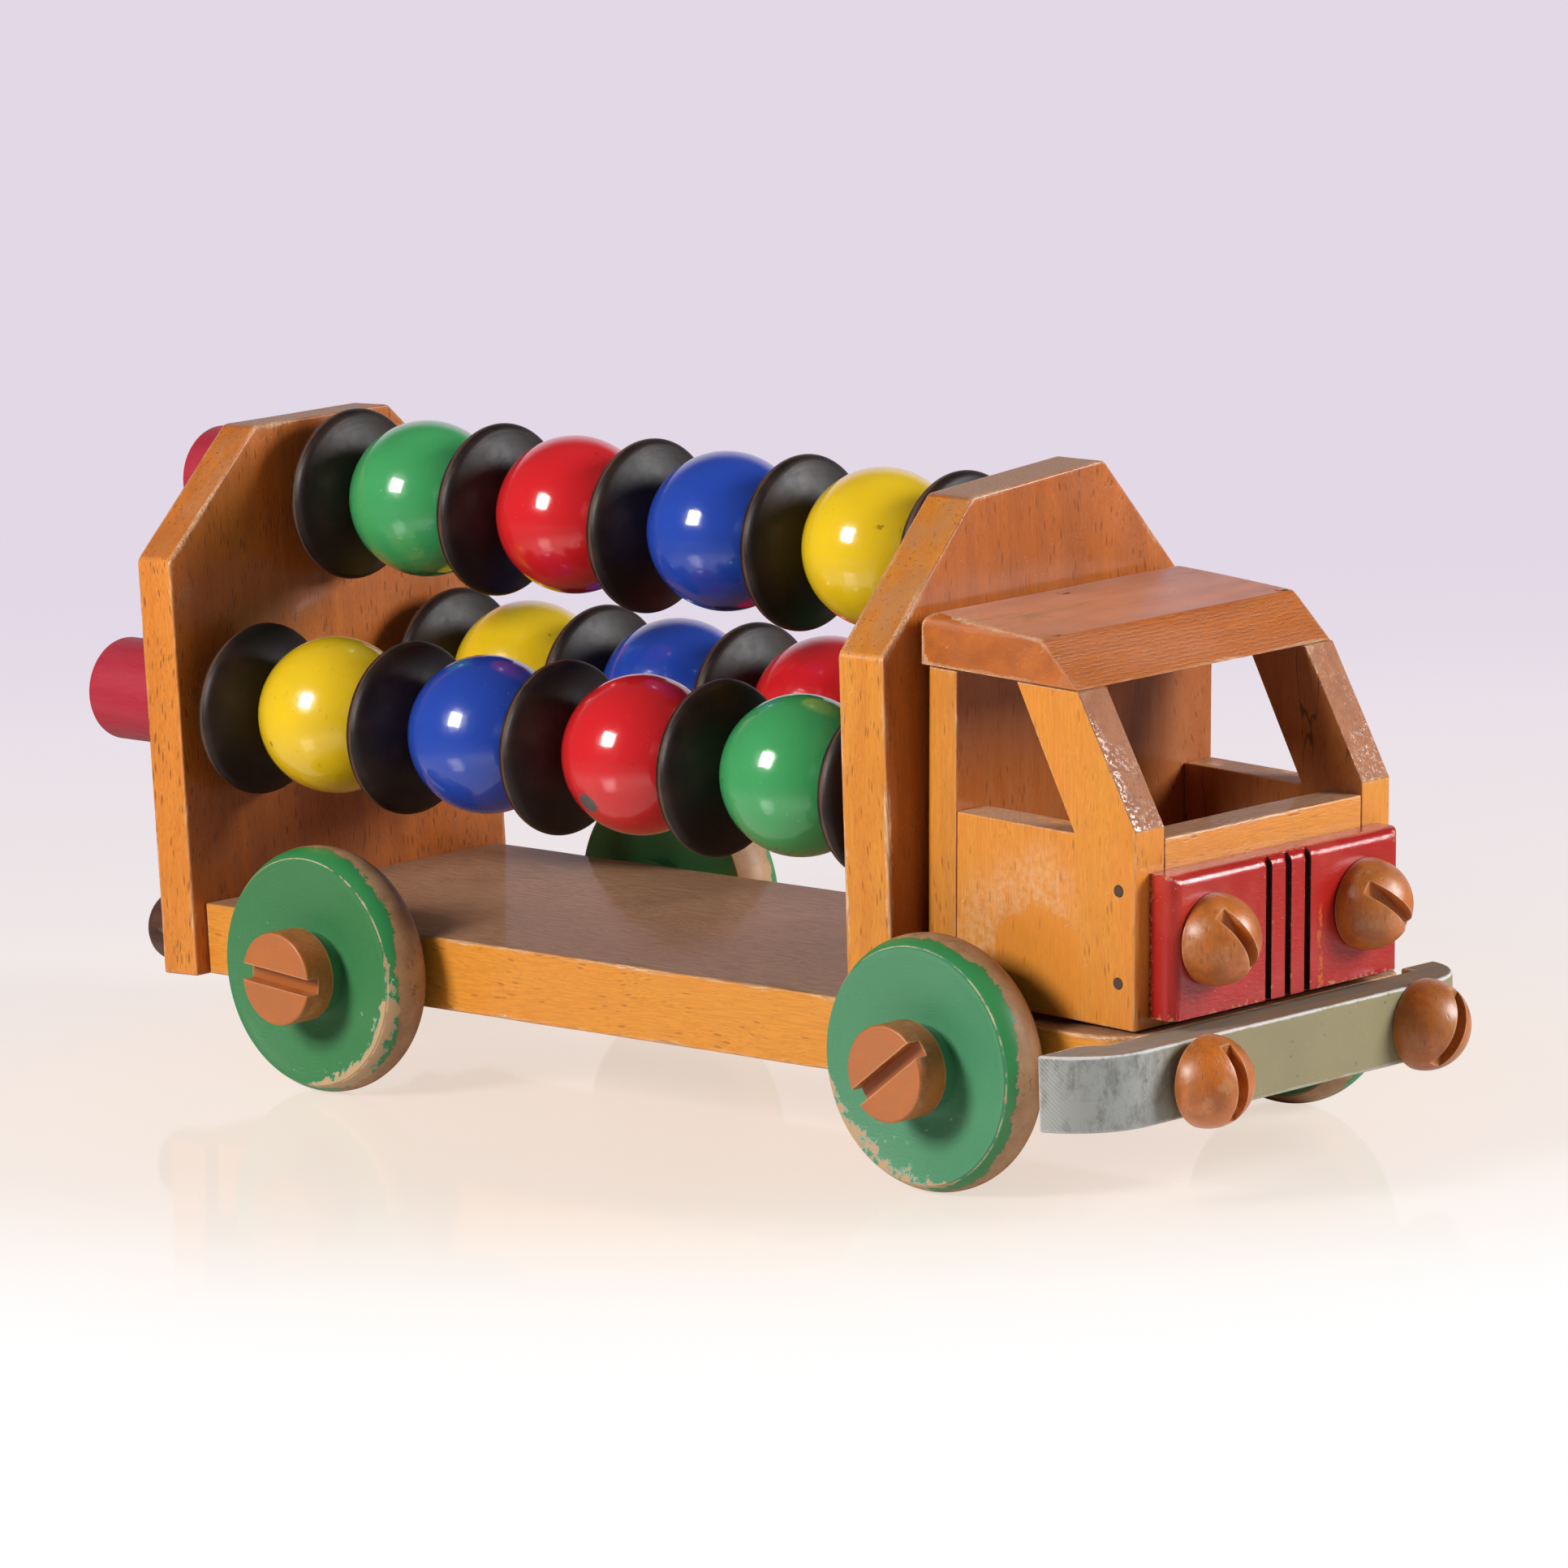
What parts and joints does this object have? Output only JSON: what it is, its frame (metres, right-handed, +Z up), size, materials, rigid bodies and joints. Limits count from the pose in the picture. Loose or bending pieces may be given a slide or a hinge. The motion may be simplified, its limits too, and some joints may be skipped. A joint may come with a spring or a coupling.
{
  "type": "toy truck",
  "caption": "Wooden toy flatbed truck with a cab, turning wheels and rows of turning balls and discs on rods between two end boards.",
  "frame": {"origin": "on the floor under the middle of the truck's box, where the wheels rest at z = 0", "axes": "+X forward over the bumper, +Y to the truck's left, +Z up"},
  "size_m": [0.3874, 0.1644, 0.1638],
  "materials": {
    "varnished_beech": "clear amber varnish over beech, worn pale on the edges",
    "worn_beech": "thin varnish worn grey-brown on top",
    "turned_beech": "orange-brown varnished turned wood",
    "brown_stain": "dark brown stain",
    "crimson_stain": "matte crimson stain on the heads, bare rod",
    "black_stain": "semi-gloss black-brown stain",
    "green_ball_paint": "high gloss lacquer",
    "red_ball_paint": "high gloss lacquer",
    "blue_ball_paint": "high gloss lacquer",
    "yellow_ball_paint": "high gloss lacquer with fine dark specks",
    "red_gloss_paint": "deep red gloss paint, chipped",
    "grey_paint": "grey-olive paint worn to silvery edges",
    "green_wheel_paint": "satin green paint on the face, bare worn tread",
    "nail_steel": "darkened steel"
  },
  "bodies": {
    "root": {"bed": "worn_beech", "tailboard": "varnished_beech", "bulkhead": "varnished_beech", "cab_back_panel": "varnished_beech", "cab_side_right": "varnished_beech", "cab_side_left": "varnished_beech", "cab_cowl": "varnished_beech", "cab_roof": "varnished_beech", "grille_plate": "red_gloss_paint", "headlight_screw_right": "turned_beech", "headlight_screw_left": "turned_beech", "bumper": "grey_paint", "bumper_screw_right": "turned_beech", "bumper_screw_left": "turned_beech", "tail_screw_right": "brown_stain", "tail_screw_left": "brown_stain", "bulkhead_nails": "nail_steel", "cab_floor_nails": "nail_steel", "cab_side_nails": "nail_steel", "roof_nails": "nail_steel", "wheel_bolt_rear_right": "turned_beech", "wheel_bolt_rear_left": "turned_beech", "wheel_bolt_front_right": "turned_beech", "wheel_bolt_front_left": "turned_beech"},
    "wheel_rear_right": {"wheel_rear_right": "green_wheel_paint"},
    "wheel_rear_left": {"wheel_rear_left": "green_wheel_paint"},
    "wheel_front_right": {"wheel_front_right": "green_wheel_paint"},
    "wheel_front_left": {"wheel_front_left": "green_wheel_paint"},
    "upper_rod": {"upper_bead_rod": "crimson_stain"},
    "upper_disc_1": {"upper_disc_1": "black_stain"},
    "upper_ball_1": {"upper_ball_1_green": "green_ball_paint"},
    "upper_disc_2": {"upper_disc_2": "black_stain"},
    "upper_ball_2": {"upper_ball_2_red": "red_ball_paint"},
    "upper_disc_3": {"upper_disc_3": "black_stain"},
    "upper_ball_3": {"upper_ball_3_blue": "blue_ball_paint"},
    "upper_disc_4": {"upper_disc_4": "black_stain"},
    "upper_ball_4": {"upper_ball_4_yellow": "yellow_ball_paint"},
    "upper_disc_5": {"upper_disc_5": "black_stain"},
    "right_rod": {"right_bead_rod": "crimson_stain"},
    "right_disc_1": {"right_disc_1": "black_stain"},
    "right_ball_1": {"right_ball_1_yellow": "yellow_ball_paint"},
    "right_disc_2": {"right_disc_2": "black_stain"},
    "right_ball_2": {"right_ball_2_blue": "blue_ball_paint"},
    "right_disc_3": {"right_disc_3": "black_stain"},
    "right_ball_3": {"right_ball_3_red": "red_ball_paint"},
    "right_disc_4": {"right_disc_4": "black_stain"},
    "right_ball_4": {"right_ball_4_green": "green_ball_paint"},
    "right_disc_5": {"right_disc_5": "black_stain"},
    "left_rod": {"left_bead_rod": "crimson_stain"},
    "left_disc_1": {"left_disc_1": "black_stain"},
    "left_ball_1": {"left_ball_1_yellow": "yellow_ball_paint"},
    "left_disc_2": {"left_disc_2": "black_stain"},
    "left_ball_2": {"left_ball_2_blue": "blue_ball_paint"},
    "left_disc_3": {"left_disc_3": "black_stain"},
    "left_ball_3": {"left_ball_3_red": "red_ball_paint"},
    "left_disc_4": {"left_disc_4": "black_stain"},
    "left_ball_4": {"left_ball_4_green": "green_ball_paint"},
    "left_disc_5": {"left_disc_5": "black_stain"}
  },
  "joints": [
    {"name": "wheel_rear_right_spin", "type": "hinge", "parent": "root", "child": "wheel_rear_right", "pos_m": [-0.09129, -0.064, 0.03125], "axis": [0, 1, 0], "continuous": true},
    {"name": "wheel_rear_left_spin", "type": "hinge", "parent": "root", "child": "wheel_rear_left", "pos_m": [-0.09129, 0.064, 0.03125], "axis": [0, 1, 0], "continuous": true},
    {"name": "wheel_front_right_spin", "type": "hinge", "parent": "root", "child": "wheel_front_right", "pos_m": [0.11641, -0.064, 0.03125], "axis": [0, 1, 0], "continuous": true},
    {"name": "wheel_front_left_spin", "type": "hinge", "parent": "root", "child": "wheel_front_left", "pos_m": [0.11641, 0.064, 0.03125], "axis": [0, 1, 0], "continuous": true},
    {"name": "upper_rod_turn", "type": "hinge", "parent": "root", "child": "upper_rod", "pos_m": [-0.14649, 0, 0.1409], "axis": [1, 0, 0], "continuous": true},
    {"name": "upper_disc_1_spin", "type": "hinge", "parent": "root", "child": "upper_disc_1", "pos_m": [-0.14094, 0, 0.1401], "axis": [1, 0, 0], "continuous": true},
    {"name": "upper_ball_1_spin", "type": "hinge", "parent": "root", "child": "upper_ball_1", "pos_m": [-0.11449, 0, 0.1409], "axis": [1, 0, 0], "continuous": true},
    {"name": "upper_disc_2_spin", "type": "hinge", "parent": "root", "child": "upper_disc_2", "pos_m": [-0.08804, 0, 0.1401], "axis": [1, 0, 0], "continuous": true},
    {"name": "upper_ball_2_spin", "type": "hinge", "parent": "root", "child": "upper_ball_2", "pos_m": [-0.06159, 0, 0.1409], "axis": [1, 0, 0], "continuous": true},
    {"name": "upper_disc_3_spin", "type": "hinge", "parent": "root", "child": "upper_disc_3", "pos_m": [-0.03514, 0, 0.1401], "axis": [1, 0, 0], "continuous": true},
    {"name": "upper_ball_3_spin", "type": "hinge", "parent": "root", "child": "upper_ball_3", "pos_m": [-0.00869, 0, 0.1409], "axis": [1, 0, 0], "continuous": true},
    {"name": "upper_disc_4_spin", "type": "hinge", "parent": "root", "child": "upper_disc_4", "pos_m": [0.01776, 0, 0.1401], "axis": [1, 0, 0], "continuous": true},
    {"name": "upper_ball_4_spin", "type": "hinge", "parent": "root", "child": "upper_ball_4", "pos_m": [0.04421, 0, 0.1409], "axis": [1, 0, 0], "continuous": true},
    {"name": "upper_disc_5_spin", "type": "hinge", "parent": "root", "child": "upper_disc_5", "pos_m": [0.07066, 0, 0.1401], "axis": [1, 0, 0], "continuous": true},
    {"name": "right_rod_turn", "type": "hinge", "parent": "root", "child": "right_rod", "pos_m": [-0.14649, -0.0349, 0.0897], "axis": [1, 0, 0], "continuous": true},
    {"name": "right_disc_1_spin", "type": "hinge", "parent": "root", "child": "right_disc_1", "pos_m": [-0.14149, -0.0349, 0.0889], "axis": [1, 0, 0], "continuous": true},
    {"name": "right_ball_1_spin", "type": "hinge", "parent": "root", "child": "right_ball_1", "pos_m": [-0.11449, -0.0349, 0.0897], "axis": [1, 0, 0], "continuous": true},
    {"name": "right_disc_2_spin", "type": "hinge", "parent": "root", "child": "right_disc_2", "pos_m": [-0.08749, -0.0349, 0.0889], "axis": [1, 0, 0], "continuous": true},
    {"name": "right_ball_2_spin", "type": "hinge", "parent": "root", "child": "right_ball_2", "pos_m": [-0.06049, -0.0349, 0.0897], "axis": [1, 0, 0], "continuous": true},
    {"name": "right_disc_3_spin", "type": "hinge", "parent": "root", "child": "right_disc_3", "pos_m": [-0.03349, -0.0349, 0.0889], "axis": [1, 0, 0], "continuous": true},
    {"name": "right_ball_3_spin", "type": "hinge", "parent": "root", "child": "right_ball_3", "pos_m": [-0.00649, -0.0349, 0.0897], "axis": [1, 0, 0], "continuous": true},
    {"name": "right_disc_4_spin", "type": "hinge", "parent": "root", "child": "right_disc_4", "pos_m": [0.02051, -0.0349, 0.0889], "axis": [1, 0, 0], "continuous": true},
    {"name": "right_ball_4_spin", "type": "hinge", "parent": "root", "child": "right_ball_4", "pos_m": [0.04751, -0.0349, 0.0897], "axis": [1, 0, 0], "continuous": true},
    {"name": "right_disc_5_spin", "type": "hinge", "parent": "root", "child": "right_disc_5", "pos_m": [0.07451, -0.0349, 0.0889], "axis": [1, 0, 0], "continuous": true},
    {"name": "left_rod_turn", "type": "hinge", "parent": "root", "child": "left_rod", "pos_m": [-0.14649, 0.0349, 0.0897], "axis": [1, 0, 0], "continuous": true},
    {"name": "left_disc_1_spin", "type": "hinge", "parent": "root", "child": "left_disc_1", "pos_m": [-0.14109, 0.0349, 0.0889], "axis": [1, 0, 0], "continuous": true},
    {"name": "left_ball_1_spin", "type": "hinge", "parent": "root", "child": "left_ball_1", "pos_m": [-0.11449, 0.0349, 0.0897], "axis": [1, 0, 0], "continuous": true},
    {"name": "left_disc_2_spin", "type": "hinge", "parent": "root", "child": "left_disc_2", "pos_m": [-0.08789, 0.0349, 0.0889], "axis": [1, 0, 0], "continuous": true},
    {"name": "left_ball_2_spin", "type": "hinge", "parent": "root", "child": "left_ball_2", "pos_m": [-0.06129, 0.0349, 0.0897], "axis": [1, 0, 0], "continuous": true},
    {"name": "left_disc_3_spin", "type": "hinge", "parent": "root", "child": "left_disc_3", "pos_m": [-0.03469, 0.0349, 0.0889], "axis": [1, 0, 0], "continuous": true},
    {"name": "left_ball_3_spin", "type": "hinge", "parent": "root", "child": "left_ball_3", "pos_m": [-0.00809, 0.0349, 0.0897], "axis": [1, 0, 0], "continuous": true},
    {"name": "left_disc_4_spin", "type": "hinge", "parent": "root", "child": "left_disc_4", "pos_m": [0.01851, 0.0349, 0.0889], "axis": [1, 0, 0], "continuous": true},
    {"name": "left_ball_4_spin", "type": "hinge", "parent": "root", "child": "left_ball_4", "pos_m": [0.04511, 0.0349, 0.0897], "axis": [1, 0, 0], "continuous": true},
    {"name": "left_disc_5_spin", "type": "hinge", "parent": "root", "child": "left_disc_5", "pos_m": [0.07171, 0.0349, 0.0889], "axis": [1, 0, 0], "continuous": true}
  ]
}
